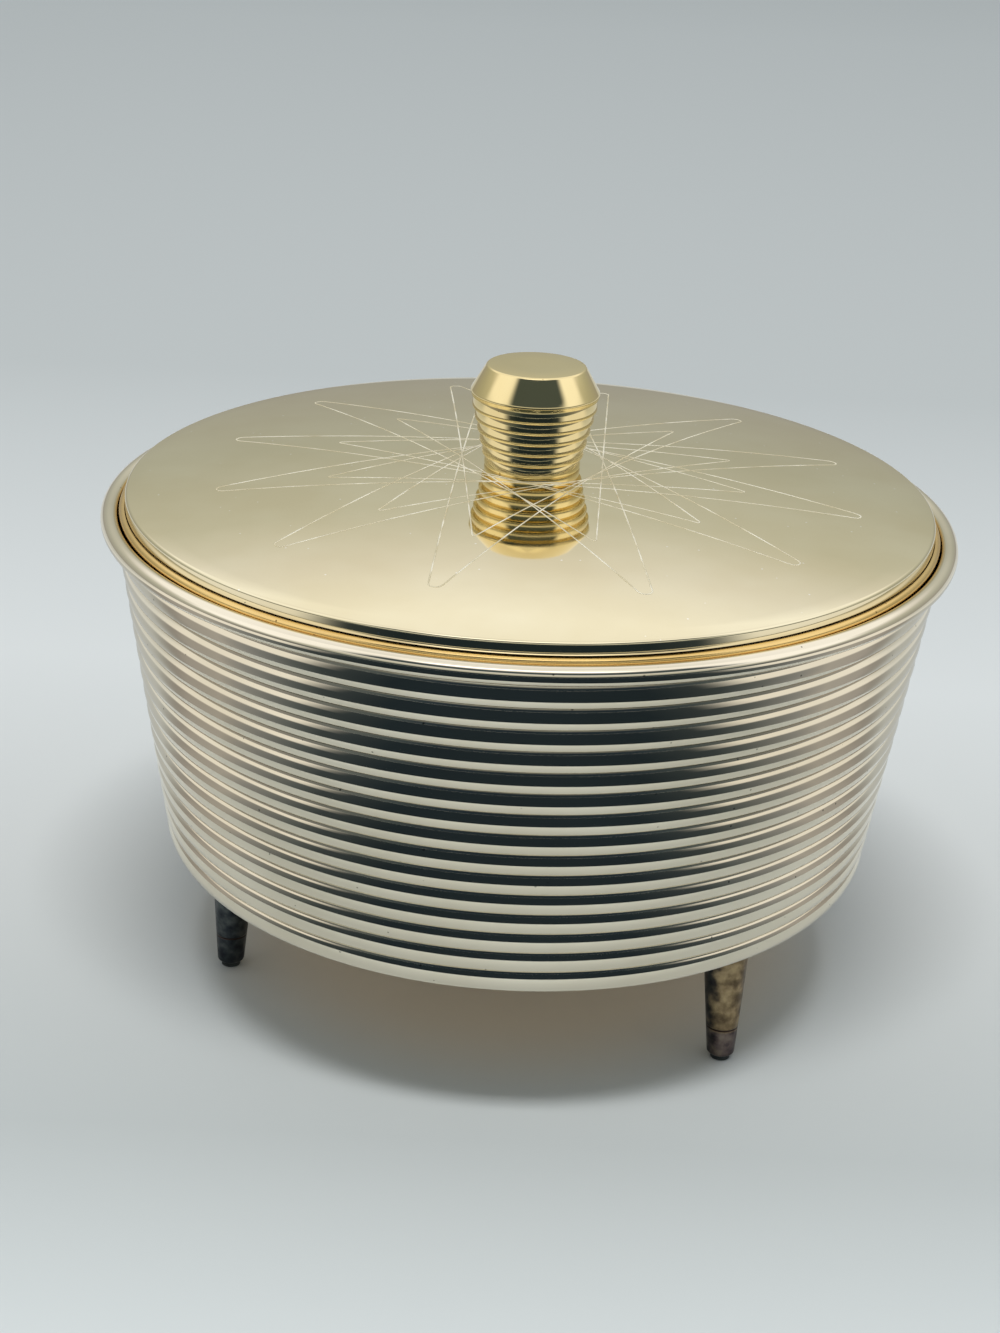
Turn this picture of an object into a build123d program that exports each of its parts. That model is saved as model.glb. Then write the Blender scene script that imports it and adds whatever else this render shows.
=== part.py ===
from build123d import *
import math
import os

# A spun metal powder box: a ribbed cup with a rolled rim on three turned legs, a bowl
# that hangs in it by its lip, and a domed lid with a ribbed knob. The origin is on the
# floor under the centre of the box, with +Z up. One leg stands at the back, on +Y.

os.makedirs("parts", exist_ok=True)

# Driving dimensions of the shell, in millimetres
rim_radius = 70.0
rim_roll_radius = 1.5
rim_rise = 2.3
rim_overhang = 2.3
shell_sheet = 0.9
wall_draw_in = 7.4
wall_rib_count = 15
wall_rib_pitch = 3.56
wall_rib_depth = 0.65
rim_tip_angle = -100.0

# Driving dimensions of the legs, in millimetres and degrees
leg_names = ("leg_rear", "leg_left", "leg_right")
rear_leg_angle = 90.0
leg_inset = 11.1
leg_splay = 2.0
leg_length = 24.4
leg_top_radius = 4.1
leg_foot_radius = 2.25
leg_foot_round = 0.5
tip_height = 0.9
tip_radius = 1.6
tip_stem_radius = 0.9
tip_stem_length = 3.0

# Driving dimensions of the liner bowl, in millimetres
liner_sheet = 0.5
liner_lip_radius = 0.75
liner_lip_inset = 0.7
liner_floor_gap = 0.8
liner_corner_radius = 6.0

# Driving dimensions of the lid, in millimetres
lid_edge_inset = 0.25
lid_sheet = 0.8
lid_skirt_height = 2.0
lid_edge_round = 0.6
lid_dome_radius = 520.0
lid_neck_depth = 5.0
lid_neck_gap = 0.4

# Driving dimensions of the knob, in millimetres
knob_crest_radius_bottom = 7.5
knob_crest_radius_top = 10.3
knob_rib_count = 6
knob_rib_pitch = 2.0
knob_rib_depth = 0.35
knob_shoulder_radius = 10.5
knob_shoulder_height = 0.5
knob_bevel_height = 4.3
knob_top_radius = 7.9
knob_edge_round = 0.3
knob_seat_margin = 0.6

# Driving dimensions of the screws and washers, in millimetres
leg_screw_radius = 1.5
leg_screw_head_radius = 2.8
leg_screw_head_height = 2.0
leg_screw_depth = 8.0
leg_washer_radius = 3.8
leg_washer_thickness = 0.8
knob_screw_radius = 2.0
knob_screw_head_radius = 3.8
knob_screw_head_height = 2.4
knob_screw_depth = 8.0
knob_washer_radius = 6.0
knob_washer_thickness = 0.8
slot_width = 0.8
slot_depth = 0.9
head_bevel = 0.5

# Clearances, in millimetres
seat_gap = 0.2
hole_gap = 0.25
thread_gap = 0.05
hole_end_gap = 1.0

# Places worked out from the sizes above
wall_crest_radius_top = rim_radius - rim_overhang
wall_crest_radius_bottom = wall_crest_radius_top - wall_draw_in
leg_circle_radius = wall_crest_radius_bottom - leg_inset
shell_bottom = tip_height + leg_length
wall_top = shell_bottom + wall_rib_count * wall_rib_pitch
wall_taper = wall_draw_in / (wall_top - shell_bottom)
shell_floor = shell_bottom + shell_sheet
rim_centre = (rim_radius - rim_roll_radius, wall_top + rim_rise)
foot_circle_radius = leg_circle_radius + leg_length * math.tan(math.radians(leg_splay))

lip_reach = rim_roll_radius + liner_lip_radius + seat_gap
lip_centre_radius = rim_centre[0] - rim_roll_radius - liner_lip_inset
lip_rise = math.sqrt(lip_reach**2 - (rim_centre[0] - lip_centre_radius) ** 2)
lip_centre = (lip_centre_radius, rim_centre[1] + lip_rise)
leg_head_seat = shell_floor + leg_washer_thickness
liner_bottom = leg_head_seat + leg_screw_head_height + liner_floor_gap
liner_floor = liner_bottom + liner_sheet
liner_mouth_radius = lip_centre[0] - liner_lip_radius

lid_radius = lip_centre_radius - lid_edge_inset
lid_ledge = lip_centre[1] + liner_lip_radius + seat_gap
lid_edge_centre = (lid_radius - lid_edge_round, lid_ledge + lid_skirt_height - lid_edge_round)
dome_centre = lid_edge_centre[1] - math.sqrt(
    (lid_dome_radius - lid_edge_round) ** 2 - lid_edge_centre[0] ** 2
)
lid_neck_bottom = lid_ledge - lid_neck_depth
lid_neck_radius = liner_mouth_radius - wall_taper * (lip_centre[1] - lid_neck_bottom) - lid_neck_gap
knob_seat_radius = knob_crest_radius_bottom + knob_seat_margin


def dome_height(radius):
    """Height of the lid's outside at a distance from its centre."""
    return dome_centre + math.sqrt(lid_dome_radius**2 - radius**2)


knob_bottom = dome_height(knob_seat_radius)
knob_ribs_top = knob_bottom + knob_rib_count * knob_rib_pitch
knob_top = knob_ribs_top + knob_shoulder_height + knob_bevel_height
knob_head_seat = knob_bottom - lid_sheet - knob_washer_thickness


def rib_point(radii, start, pitch, count, depth, step):
    """Bottom of the groove under rib number step, for ribs stacked along a cone."""
    share = step / count
    return (radii[0] + (radii[1] - radii[0]) * share - depth, start + step * pitch)


def rib_stack(radii, start, pitch, count, depth, inward=0.0):
    """Rounded ribs from the lowest groove up, each one arc, moved inward by a sheet."""
    for step in range(count):
        low = rib_point(radii, start, pitch, count, depth, step)
        high = rib_point(radii, start, pitch, count, depth, step + 1)
        crest = ((low[0] + high[0]) / 2 + depth, (low[1] + high[1]) / 2)
        ThreePointArc(*((radius - inward, height) for radius, height in (low, crest, high)))


def on_circle(centre, radius, angle):
    """Point on a circle of the section, at an angle from the outward direction."""
    turn = math.radians(angle)
    return (centre[0] + radius * math.cos(turn), centre[1] + radius * math.sin(turn))


# Body shell: one spun cup, with ribs pressed through its wall and a hollow rolled rim
wall_radii = (wall_crest_radius_bottom, wall_crest_radius_top)
wall_ribs = (wall_radii, shell_bottom, wall_rib_pitch, wall_rib_count, wall_rib_depth)
first_groove = rib_point(*wall_ribs, 0)
second_groove = rib_point(*wall_ribs, 1)
top_groove = rib_point(*wall_ribs, wall_rib_count)
inner_radii = (second_groove[0] + wall_rib_depth, wall_crest_radius_top)
inner_ribs = (inner_radii, second_groove[1], wall_rib_pitch, wall_rib_count - 1, wall_rib_depth)
inner_corner = (second_groove[0] - shell_sheet, second_groove[1])
floor_edge = (first_groove[0] - shell_sheet / 2, shell_floor)
rim_hollow_radius = rim_roll_radius - shell_sheet
rim_turn = 180.0 - rim_tip_angle

with BuildPart() as body_shell:
    with BuildSketch(Plane.XZ):
        with BuildLine():
            Line((0, shell_bottom), first_groove)
            rib_stack(*wall_ribs)
            Line(top_groove, on_circle(rim_centre, rim_hollow_radius, 180))
            CenterArc(rim_centre, rim_hollow_radius, 180, -rim_turn)
            Line(
                on_circle(rim_centre, rim_hollow_radius, rim_tip_angle),
                on_circle(rim_centre, rim_roll_radius, rim_tip_angle),
            )
            CenterArc(rim_centre, rim_roll_radius, rim_tip_angle, rim_turn)
            Line(
                on_circle(rim_centre, rim_roll_radius, 180),
                (top_groove[0] - shell_sheet, wall_top),
            )
            rib_stack(*inner_ribs, shell_sheet)
            SagittaArc(inner_corner, floor_edge, wall_rib_depth / 2)
            Polyline(floor_edge, (0, shell_floor), (0, shell_bottom))
        make_face()
    revolve(axis=Axis.Z)
    with BuildSketch(Plane.XY.offset(shell_bottom)):
        with PolarLocations(leg_circle_radius, len(leg_names), start_angle=rear_leg_angle):
            Circle(leg_screw_radius + hole_gap)
    extrude(amount=shell_sheet, mode=Mode.SUBTRACT)

body_shell.part.label = "body_shell"
export_step(body_shell.part, "parts/body_shell.step")

# Legs: turned tapers that lean a little outward, with flat ends, a tapped hole in the
# top and a socket for the tip in the foot
for index, name in enumerate(leg_names):
    turn = math.radians(rear_leg_angle + index * 360 / len(leg_names))
    outward = (math.cos(turn), math.sin(turn), 0)
    foot_plane = Plane((0, 0, tip_height), x_dir=outward, z_dir=(0, 0, 1))
    top_plane = Plane((0, 0, shell_bottom), x_dir=outward, z_dir=(0, 0, 1))
    with BuildPart() as leg:
        with BuildSketch(foot_plane):
            with Locations((foot_circle_radius, 0)):
                Circle(leg_foot_radius)
        with BuildSketch(top_plane):
            with Locations((leg_circle_radius, 0)):
                Circle(leg_top_radius)
        loft(ruled=True)
        fillet(leg.edges().filter_by(GeomType.CIRCLE).sort_by(Axis.Z)[0], leg_foot_round)
        with BuildSketch(top_plane):
            with Locations((leg_circle_radius, 0)):
                Circle(leg_screw_radius + thread_gap)
        extrude(amount=-(leg_screw_depth + hole_end_gap), mode=Mode.SUBTRACT)
        with BuildSketch(foot_plane):
            with Locations((foot_circle_radius, 0)):
                Circle(tip_stem_radius + thread_gap)
        extrude(amount=tip_stem_length + hole_end_gap, mode=Mode.SUBTRACT)
    leg.part.label = name
    export_step(leg.part, f"parts/{name}.step")

# Foot tips: small rubber buttons with a stem pushed up into each foot
with BuildPart() as foot_tips:
    with PolarLocations(foot_circle_radius, len(leg_names), start_angle=rear_leg_angle):
        Cylinder(tip_radius, tip_height, align=(Align.CENTER, Align.CENTER, Align.MIN))
        Cylinder(
            tip_stem_radius,
            tip_height + tip_stem_length,
            align=(Align.CENTER, Align.CENTER, Align.MIN),
        )

foot_tips.part.label = "foot_tips"
export_step(foot_tips.part, "parts/foot_tips.step")

# Leg washers: under the screw heads, on the inside of the shell's floor
with BuildPart() as leg_washers:
    with BuildSketch(Plane.XY.offset(shell_floor)):
        with PolarLocations(leg_circle_radius, len(leg_names), start_angle=rear_leg_angle):
            Circle(leg_washer_radius)
            Circle(leg_screw_radius + hole_gap, mode=Mode.SUBTRACT)
    extrude(amount=leg_washer_thickness)

leg_washers.part.label = "leg_washers"
export_step(leg_washers.part, "parts/leg_washers.step")

# Leg screws: slotted pan heads inside the shell, with shanks down into the legs
with BuildPart() as leg_screws:
    with BuildSketch(Plane.XY.offset(leg_head_seat)):
        with PolarLocations(leg_circle_radius, len(leg_names), start_angle=rear_leg_angle):
            Circle(leg_screw_head_radius)
    extrude(amount=leg_screw_head_height)
    chamfer(leg_screws.edges().group_by(Axis.Z)[-1], head_bevel)
    with BuildSketch(Plane.XY.offset(leg_head_seat + leg_screw_head_height)):
        with PolarLocations(leg_circle_radius, len(leg_names), start_angle=rear_leg_angle):
            Rectangle(2 * leg_screw_head_radius, slot_width)
    extrude(amount=-slot_depth, mode=Mode.SUBTRACT)
    with BuildSketch(Plane.XY.offset(leg_head_seat)):
        with PolarLocations(leg_circle_radius, len(leg_names), start_angle=rear_leg_angle):
            Circle(leg_screw_radius)
    extrude(amount=-(leg_washer_thickness + shell_sheet + leg_screw_depth))

leg_screws.part.label = "leg_screws"
export_step(leg_screws.part, "parts/leg_screws.step")

# Liner bowl: thin sheet that follows the shell's taper and hangs by its rolled lip
lip_cut = liner_lip_radius - liner_sheet
lip_join = (lip_centre[0] - lip_cut, lip_centre[1] - math.sqrt(liner_lip_radius**2 - lip_cut**2))
lip_join_angle = math.degrees(math.atan2(lip_join[1] - lip_centre[1], lip_join[0] - lip_centre[0]))
liner_foot = (lip_join[0] - wall_taper * (lip_join[1] - liner_bottom), liner_bottom)
liner_inner_foot = (
    liner_mouth_radius - wall_taper * (lip_centre[1] - liner_floor),
    liner_floor,
)

with BuildPart() as liner_bowl:
    with BuildSketch(Plane.XZ):
        with BuildLine():
            Polyline((0, liner_bottom), liner_foot, lip_join)
            CenterArc(lip_centre, liner_lip_radius, lip_join_angle, 180 - lip_join_angle)
            Polyline(
                (liner_mouth_radius, lip_centre[1]),
                liner_inner_foot,
                (0, liner_floor),
                (0, liner_bottom),
            )
        make_face()
    revolve(axis=Axis.Z)
    rings = liner_bowl.edges().filter_by(GeomType.CIRCLE)
    fillet(rings.group_by(Axis.Z)[0], liner_corner_radius)
    rings = liner_bowl.edges().filter_by(GeomType.CIRCLE)
    inner_ring = rings.filter_by_position(
        Axis.Z, liner_floor - liner_sheet / 4, liner_floor + liner_sheet / 4
    )
    fillet(inner_ring, liner_corner_radius - liner_sheet)

liner_bowl.part.label = "liner_bowl"
export_step(liner_bowl.part, "parts/liner_bowl.step")

# Lid: a shallow dome turned down to a short skirt, a ledge that sits on the liner's lip
# and a neck that drops inside its mouth
edge_tilt = math.degrees(math.asin(lid_edge_centre[0] / (lid_dome_radius - lid_edge_round)))
dome_edge = on_circle(lid_edge_centre, lid_edge_round, 90 - edge_tilt)
dome_half = dome_edge[0] / 2
neck_inside = lid_neck_radius - lid_sheet

with BuildPart() as lid:
    with BuildSketch(Plane.XZ):
        with BuildLine():
            Line((0, knob_bottom), (knob_seat_radius, knob_bottom))
            ThreePointArc(
                (knob_seat_radius, knob_bottom), (dome_half, dome_height(dome_half)), dome_edge
            )
            CenterArc(lid_edge_centre, lid_edge_round, 90 - edge_tilt, edge_tilt - 90)
            Polyline(
                on_circle(lid_edge_centre, lid_edge_round, 0),
                (lid_radius, lid_ledge),
                (lid_neck_radius, lid_ledge),
                (lid_neck_radius, lid_neck_bottom),
                (neck_inside, lid_neck_bottom),
                (neck_inside, dome_height(neck_inside) - lid_sheet),
            )
            ThreePointArc(
                (neck_inside, dome_height(neck_inside) - lid_sheet),
                (dome_half, dome_height(dome_half) - lid_sheet),
                (knob_seat_radius, knob_bottom - lid_sheet),
            )
            Polyline(
                (knob_seat_radius, knob_bottom - lid_sheet),
                (0, knob_bottom - lid_sheet),
                (0, knob_bottom),
            )
        make_face()
    revolve(axis=Axis.Z)
    with BuildSketch(Plane.XY.offset(knob_bottom)):
        Circle(knob_screw_radius + hole_gap)
    extrude(amount=-lid_sheet, mode=Mode.SUBTRACT)

lid.part.label = "lid"
export_step(lid.part, "parts/lid.step")

# Knob: turned, with six ribs that widen upwards, a shoulder and a bevel to a flat top
knob_radii = (knob_crest_radius_bottom, knob_crest_radius_top)
knob_ribs = (knob_radii, knob_bottom, knob_rib_pitch, knob_rib_count, knob_rib_depth)
knob_foot = rib_point(*knob_ribs, 0)
knob_neck = rib_point(*knob_ribs, knob_rib_count)

with BuildPart() as knob:
    with BuildSketch(Plane.XZ):
        with BuildLine():
            Line((0, knob_bottom), knob_foot)
            rib_stack(*knob_ribs)
            Polyline(
                knob_neck,
                (knob_shoulder_radius, knob_ribs_top + knob_shoulder_height),
                (knob_top_radius, knob_top),
                (0, knob_top),
                (0, knob_bottom),
            )
        make_face()
    revolve(axis=Axis.Z)
    fillet(knob.edges().group_by(Axis.Z)[-1], knob_edge_round)
    fillet(knob.edges().filter_by(GeomType.CIRCLE).sort_by(SortBy.RADIUS)[-1], knob_edge_round)
    with BuildSketch(Plane.XY.offset(knob_bottom)):
        Circle(knob_screw_radius + thread_gap)
    extrude(amount=knob_screw_depth + hole_end_gap, mode=Mode.SUBTRACT)

knob.part.label = "knob"
export_step(knob.part, "parts/knob.step")

# Knob washer: on the underside of the lid
with BuildPart() as knob_washer:
    with BuildSketch(Plane.XY.offset(knob_head_seat)):
        Circle(knob_washer_radius)
        Circle(knob_screw_radius + hole_gap, mode=Mode.SUBTRACT)
    extrude(amount=knob_washer_thickness)

knob_washer.part.label = "knob_washer"
export_step(knob_washer.part, "parts/knob_washer.step")

# Knob screw: a slotted pan head under the lid, with its shank up into the knob
with BuildPart() as knob_screw:
    with BuildSketch(Plane.XY.offset(knob_head_seat)):
        Circle(knob_screw_head_radius)
    extrude(amount=-knob_screw_head_height)
    chamfer(knob_screw.edges().group_by(Axis.Z)[0], head_bevel)
    with BuildSketch(Plane.XY.offset(knob_head_seat - knob_screw_head_height)):
        Rectangle(2 * knob_screw_head_radius, slot_width)
    extrude(amount=slot_depth, mode=Mode.SUBTRACT)
    with BuildSketch(Plane.XY.offset(knob_head_seat)):
        Circle(knob_screw_radius)
    extrude(amount=knob_washer_thickness + lid_sheet + knob_screw_depth)

knob_screw.part.label = "knob_screw"
export_step(knob_screw.part, "parts/knob_screw.step")
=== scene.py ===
import math
import bmesh
import bpy
from mathutils import Matrix, Vector


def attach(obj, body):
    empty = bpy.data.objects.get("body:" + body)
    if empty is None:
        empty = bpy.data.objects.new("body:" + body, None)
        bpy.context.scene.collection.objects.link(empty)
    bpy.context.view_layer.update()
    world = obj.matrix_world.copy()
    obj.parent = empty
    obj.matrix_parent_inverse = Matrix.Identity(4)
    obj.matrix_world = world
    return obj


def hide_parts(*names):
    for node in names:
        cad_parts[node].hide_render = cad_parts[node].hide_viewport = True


# Looks of a spun metal powder box: a ribbed silver cup on three turned legs, a gold bowl
# in it and a pale gold domed lid with a ribbed knob. Metres, in the frame of the CAD part.

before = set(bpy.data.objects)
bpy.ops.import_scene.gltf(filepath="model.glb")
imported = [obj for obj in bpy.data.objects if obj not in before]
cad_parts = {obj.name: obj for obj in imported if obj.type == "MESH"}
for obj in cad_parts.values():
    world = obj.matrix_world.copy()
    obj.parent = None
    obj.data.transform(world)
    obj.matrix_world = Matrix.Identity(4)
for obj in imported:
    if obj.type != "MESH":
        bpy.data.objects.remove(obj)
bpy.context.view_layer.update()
MM = 0.001

# The photograph stands the box 14.5 degrees round from the leg at the back
PHOTO_TURN = math.radians(14.5)


def along_view(side, back):
    """A point on the floor, side to the right and back away from the camera."""
    cosine, sine = math.cos(PHOTO_TURN), math.sin(PHOTO_TURN)
    return Vector((side * cosine - back * sine, side * sine + back * cosine, 0))


def place_camera():
    """Camera fitted to the ellipses of the rim, the lid and the bottom edge."""
    # Focal length and aim in pixels of the photograph, distance in metres
    focal, photo_height = 2241.42, 1333
    aim_shift = Vector((29.68, -155.44, focal))
    aim, distance = Vector((0, 0, 0.081)), 0.371857
    rise, roll = math.radians(19.178), math.radians(2.753)
    away = along_view(0, -math.cos(rise)) + Vector((0, 0, math.sin(rise)))
    right = along_view(1, 0)
    forward = -away
    base = Matrix((right, forward.cross(right), forward))
    tilt = Vector((0, 0, 1)).rotation_difference(aim_shift).to_matrix()
    axes = tilt @ Matrix.Rotation(roll, 3, "Z") @ base
    # A camera looks along its own minus Z, with its Y up
    turned = Matrix((axes[0], -axes[1], -axes[2])).transposed()
    data = bpy.data.cameras.new("camera")
    data.sensor_width = 36
    data.lens = focal * data.sensor_width / photo_height
    data.clip_start = 0.01
    camera = bpy.data.objects.new("camera", data)
    camera.matrix_world = Matrix.Translation(aim + away * distance) @ turned.to_4x4()
    bpy.context.scene.collection.objects.link(camera)
    bpy.context.scene.camera = camera


place_camera()
bpy.context.scene.view_settings.view_transform = "Standard"


def colour(code):
    """An sRGB hex colour as linear red, green, blue and full alpha."""
    parts = [int(code[place:place + 2], 16) / 255 for place in (0, 2, 4)]
    linear = [c / 12.92 if c <= 0.04045 else ((c + 0.055) / 1.055) ** 2.4 for c in parts]
    return (*linear, 1.0)


# Eases a Map Range node in and out at both ends
SMOOTH = {"interpolation_type": "SMOOTHSTEP"}


def add(tree, kind, links=None, out=0, stops=(), **settings):
    """Adds one node, sets it, fills its sockets and ramp stops, and gives one output."""
    node = tree.nodes.new(kind)
    for name, value in settings.items():
        setattr(node, name, value)
    for socket, source in (links or {}).items():
        if isinstance(source, bpy.types.NodeSocket):
            tree.links.new(source, node.inputs[socket])
        else:
            node.inputs[socket].default_value = source
    for _ in stops[2:]:
        node.color_ramp.elements.new(1.0)
    for index, (place, code) in enumerate(stops):
        node.color_ramp.elements[index].position = place
        node.color_ramp.elements[index].color = colour(code)
    return node.outputs[out] if len(node.outputs) else node


def empty_material(name):
    """A node material with nothing in it yet."""
    material = bpy.data.materials.new(name)
    material.use_nodes = True
    material.node_tree.nodes.clear()
    return material, material.node_tree


# Stage: a pale floor, a pale world, and a card that only the metal sees

# The lamp hangs this high and this far towards the camera, and looks at the box's middle
LAMP_HEIGHT, LAMP_REACH, BOX_MIDDLE = 1.9, 0.65, 0.05


def pale_floor():
    """Matt paper with painted light and shade in its tone, so the box stands on a clean pale
    ground that meets the backdrop.
    """
    material, tree = empty_material("pale_paper_floor_painted_light")
    spot = add(tree, "ShaderNodeTexCoord", out="Object")
    level = add(tree, "ShaderNodeMapping", {0: spot, 2: (0, 0, -PHOTO_TURN)})
    depth = add(tree, "ShaderNodeSeparateXYZ", {0: level}, out="Y")
    # The tone by depth is painted light and shade: brightest towards the camera, a painted shaded
    # band at the box's front edge, and greyer far behind
    share = add(tree, "ShaderNodeMapRange", {0: depth, 1: -0.2, 2: 1.4})
    tone = add(tree, "ShaderNodeValToRGB", {0: share}, stops=(
        (0.0, "F4F9F9"), (0.045, "E2E7E7"), (0.085, "C4C9C9"), (0.14, "D4D7D7"),
        (0.2, "E2E5E5"), (0.35, "CCD0D0"), (0.9, "D8DCDC"),
    ))
    # Painted light: under the box a warm bounce from the gold and the silver is painted into the
    # paper's colour
    under = add(
        tree, "ShaderNodeVectorMath", {0: spot, 1: along_view(0, 9 * MM)}, out="Value",
        operation="DISTANCE",
    )
    under = add(
        tree, "ShaderNodeMapRange", {0: under, 1: 35 * MM, 2: 62 * MM, 3: 0.7, 4: 0.0},
        **SMOOTH,
    )
    tone = add(
        tree, "ShaderNodeMix", {0: under, 6: tone, 7: colour("EBD9C2")}, out=2,
        data_type="RGBA",
    )
    paper = add(tree, "ShaderNodeBsdfDiffuse", {0: tone})
    # Far out it becomes the backdrop, so no horizon shows
    far = add(tree, "ShaderNodeEmission", {0: colour("B9BFBF"), 1: 1.0})
    reach = add(tree, "ShaderNodeVectorMath", {0: spot}, out="Value", operation="LENGTH")
    share = add(tree, "ShaderNodeMapRange", {0: reach, 1: 1.2, 2: 4.0, 3: 0.0, 4: 1.0}, **SMOOTH)
    mixed = add(tree, "ShaderNodeMixShader", {0: share, 1: paper, 2: far})
    add(tree, "ShaderNodeOutputMaterial", {0: mixed})
    return material


def make_floor():
    """A disc of paper that reaches far past the view, a hair under the feet."""
    mesh = bpy.data.meshes.new("floor")
    shape = bmesh.new()
    bmesh.ops.create_circle(shape, cap_ends=True, radius=12.0, segments=96)
    shape.to_mesh(mesh)
    mesh.materials.append(pale_floor())
    floor = bpy.data.objects.new("floor", mesh)
    floor.location.z = -0.1 * MM
    bpy.context.scene.collection.objects.link(floor)


def table_look():
    """The table past the paper: dark in front, grey and then bright at the sides."""
    material, tree = empty_material("table_beyond_the_paper")
    spot = add(tree, "ShaderNodeTexCoord", out="Object")
    ahead = add(tree, "ShaderNodeVectorMath", {0: spot}, operation="NORMALIZE")
    ahead = add(
        tree, "ShaderNodeVectorMath", {0: ahead, 1: along_view(0, -1)}, out="Value",
        operation="DOT_PRODUCT",
    )
    reach = add(tree, "ShaderNodeVectorMath", {0: spot}, out="Value", operation="LENGTH")
    share = add(tree, "ShaderNodeMapRange", {0: ahead, 1: -0.3, 2: 1.0})
    tone = add(tree, "ShaderNodeValToRGB", {0: share}, stops=(
        (0.0, "84827E"), (0.2, "A5A29F"), (0.38, "AAA8A5"), (0.5, "8C8E8F"),
        (0.69, "565D60"), (0.76, "3C4448"), (0.9, "222C33"),
    ))
    # A quarter of a metre out at the sides it turns bright
    aside = add(
        tree, "ShaderNodeMapRange", {0: ahead, 1: 0.5, 2: 0.75, 3: 1.0, 4: 0.0}, **SMOOTH
    )
    far = add(tree, "ShaderNodeMapRange", {0: reach, 1: 0.24, 2: 0.3, 3: 0.0, 4: 1.0}, **SMOOTH)
    far = add(tree, "ShaderNodeMath", {0: far, 1: aside}, operation="MULTIPLY")
    tone = add(
        tree, "ShaderNodeMix", {0: far, 6: tone, 7: colour("F4F2EC")}, out=2,
        data_type="RGBA",
    )
    # It is clear close to the box, and mostly clear behind it
    outward = add(
        tree, "ShaderNodeMapRange", {0: reach, 1: 0.118, 2: 0.122, 3: 0.0, 4: 1.0}, **SMOOTH
    )
    around = add(
        tree, "ShaderNodeMapRange", {0: ahead, 1: -0.4, 2: -0.1, 3: 0.35, 4: 1.0}, **SMOOTH
    )
    share = add(tree, "ShaderNodeMath", {0: around, 1: outward}, operation="MULTIPLY")
    table = add(tree, "ShaderNodeEmission", {0: tone, 1: 1.0})
    clear = add(tree, "ShaderNodeBsdfTransparent")
    table = add(tree, "ShaderNodeMixShader", {0: share, 1: clear, 2: table})
    add(tree, "ShaderNodeOutputMaterial", {0: table})
    return material


def make_card():
    """A flat ring round the box, half a millimetre up, that only the metal sees."""
    sectors, rings = 32, []
    mesh = bpy.data.meshes.new("table")
    shape = bmesh.new()
    for reach in (0.11, 0.2, 0.4, 1.0, 6.0):
        ring = []
        for step in range(sectors + 1):
            turn = math.radians(-180 + step * 360 / sectors)
            spot = along_view(reach * math.sin(turn), -reach * math.cos(turn))
            ring.append(shape.verts.new(spot + Vector((0, 0, 0.5 * MM))))
        rings.append(ring)
    for near, far in zip(rings, rings[1:]):
        for left in range(sectors):
            shape.faces.new((near[left], near[left + 1], far[left + 1], far[left]))
    shape.to_mesh(mesh)
    mesh.materials.append(table_look())
    card = bpy.data.objects.new("table", mesh)
    card.visible_camera = False
    card.visible_diffuse = False
    card.visible_shadow = False
    card.visible_transmission = False
    bpy.context.scene.collection.objects.link(card)


def side_windows(tree, walls, flat, height):
    """Bright windows on both sides, a little towards the camera, laid over the walls."""
    facing = add(
        tree, "ShaderNodeVectorMath", {0: flat, 1: along_view(0, -1)}, out="Value",
        operation="DOT_PRODUCT",
    )
    pane = add(tree, "ShaderNodeMath", {0: facing, 1: 0.15}, operation="SUBTRACT")
    pane = add(tree, "ShaderNodeMath", {0: pane}, operation="ABSOLUTE")
    pane = add(tree, "ShaderNodeMapRange", {0: pane, 1: 0.2, 2: 0.45, 3: 1.0, 4: 0.0}, **SMOOTH)
    tall = add(
        tree, "ShaderNodeMapRange", {0: height, 1: 0.25, 2: 0.5, 3: 0.0, 4: 1.0}, **SMOOTH
    )
    pane = add(tree, "ShaderNodeMath", {0: pane, 1: tall}, operation="MULTIPLY")
    return add(
        tree, "ShaderNodeMix", {0: pane, 6: walls, 7: colour("FFFFFF")}, out=2,
        data_type="RGBA",
    )


def dark_room(tree, walls, ahead, height):
    """The dark room in front: wide low down, narrow higher up, and paler sideways."""
    outer = add(
        tree, "ShaderNodeMapRange", {0: height, 1: 0.15, 2: 0.45, 3: -0.15, 4: 0.42}
    )
    inner = add(tree, "ShaderNodeMath", {0: outer, 1: 0.25}, operation="ADD")
    round_front = add(
        tree, "ShaderNodeMapRange", {0: ahead, 1: outer, 2: inner, 3: 0, 4: 1}, **SMOOTH
    )
    low = add(tree, "ShaderNodeMapRange", {0: height, 1: 0.16, 2: 0.3, 3: 1, 4: 0}, **SMOOTH)
    front = add(tree, "ShaderNodeMath", {0: round_front, 1: low}, operation="MULTIPLY")
    room = add(tree, "ShaderNodeValToRGB", {0: ahead}, stops=(
        (0.1, "908E8B"), (0.34, "7E7E7C"), (0.6, "5E6465"), (0.78, "3E484D"),
        (0.9, "25303A"), (1.0, "1F2A33"),
    ))
    return add(
        tree, "ShaderNodeMix", {0: front, 6: walls, 7: room}, out=2, data_type="RGBA"
    )


def dark_shape(tree, seen, ahead, height):
    """A dark shape high up in front, which gives the lid its dark middle."""
    bottom = add(
        tree, "ShaderNodeMapRange", {0: height, 1: 0.5, 2: 0.6, 3: 0, 4: 1}, **SMOOTH
    )
    top = add(tree, "ShaderNodeMapRange", {0: height, 1: 0.79, 2: 0.86, 3: 1, 4: 0}, **SMOOTH)
    sides = add(
        tree, "ShaderNodeMapRange", {0: ahead, 1: 0.42, 2: 0.67, 3: 0, 4: 1}, **SMOOTH
    )
    shape = add(tree, "ShaderNodeMath", {0: bottom, 1: top}, operation="MULTIPLY")
    shape = add(tree, "ShaderNodeMath", {0: shape, 1: sides}, operation="MULTIPLY")
    return add(
        tree, "ShaderNodeMix", {0: shape, 6: seen, 7: colour("485257")}, out=2,
        data_type="RGBA",
    )


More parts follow.
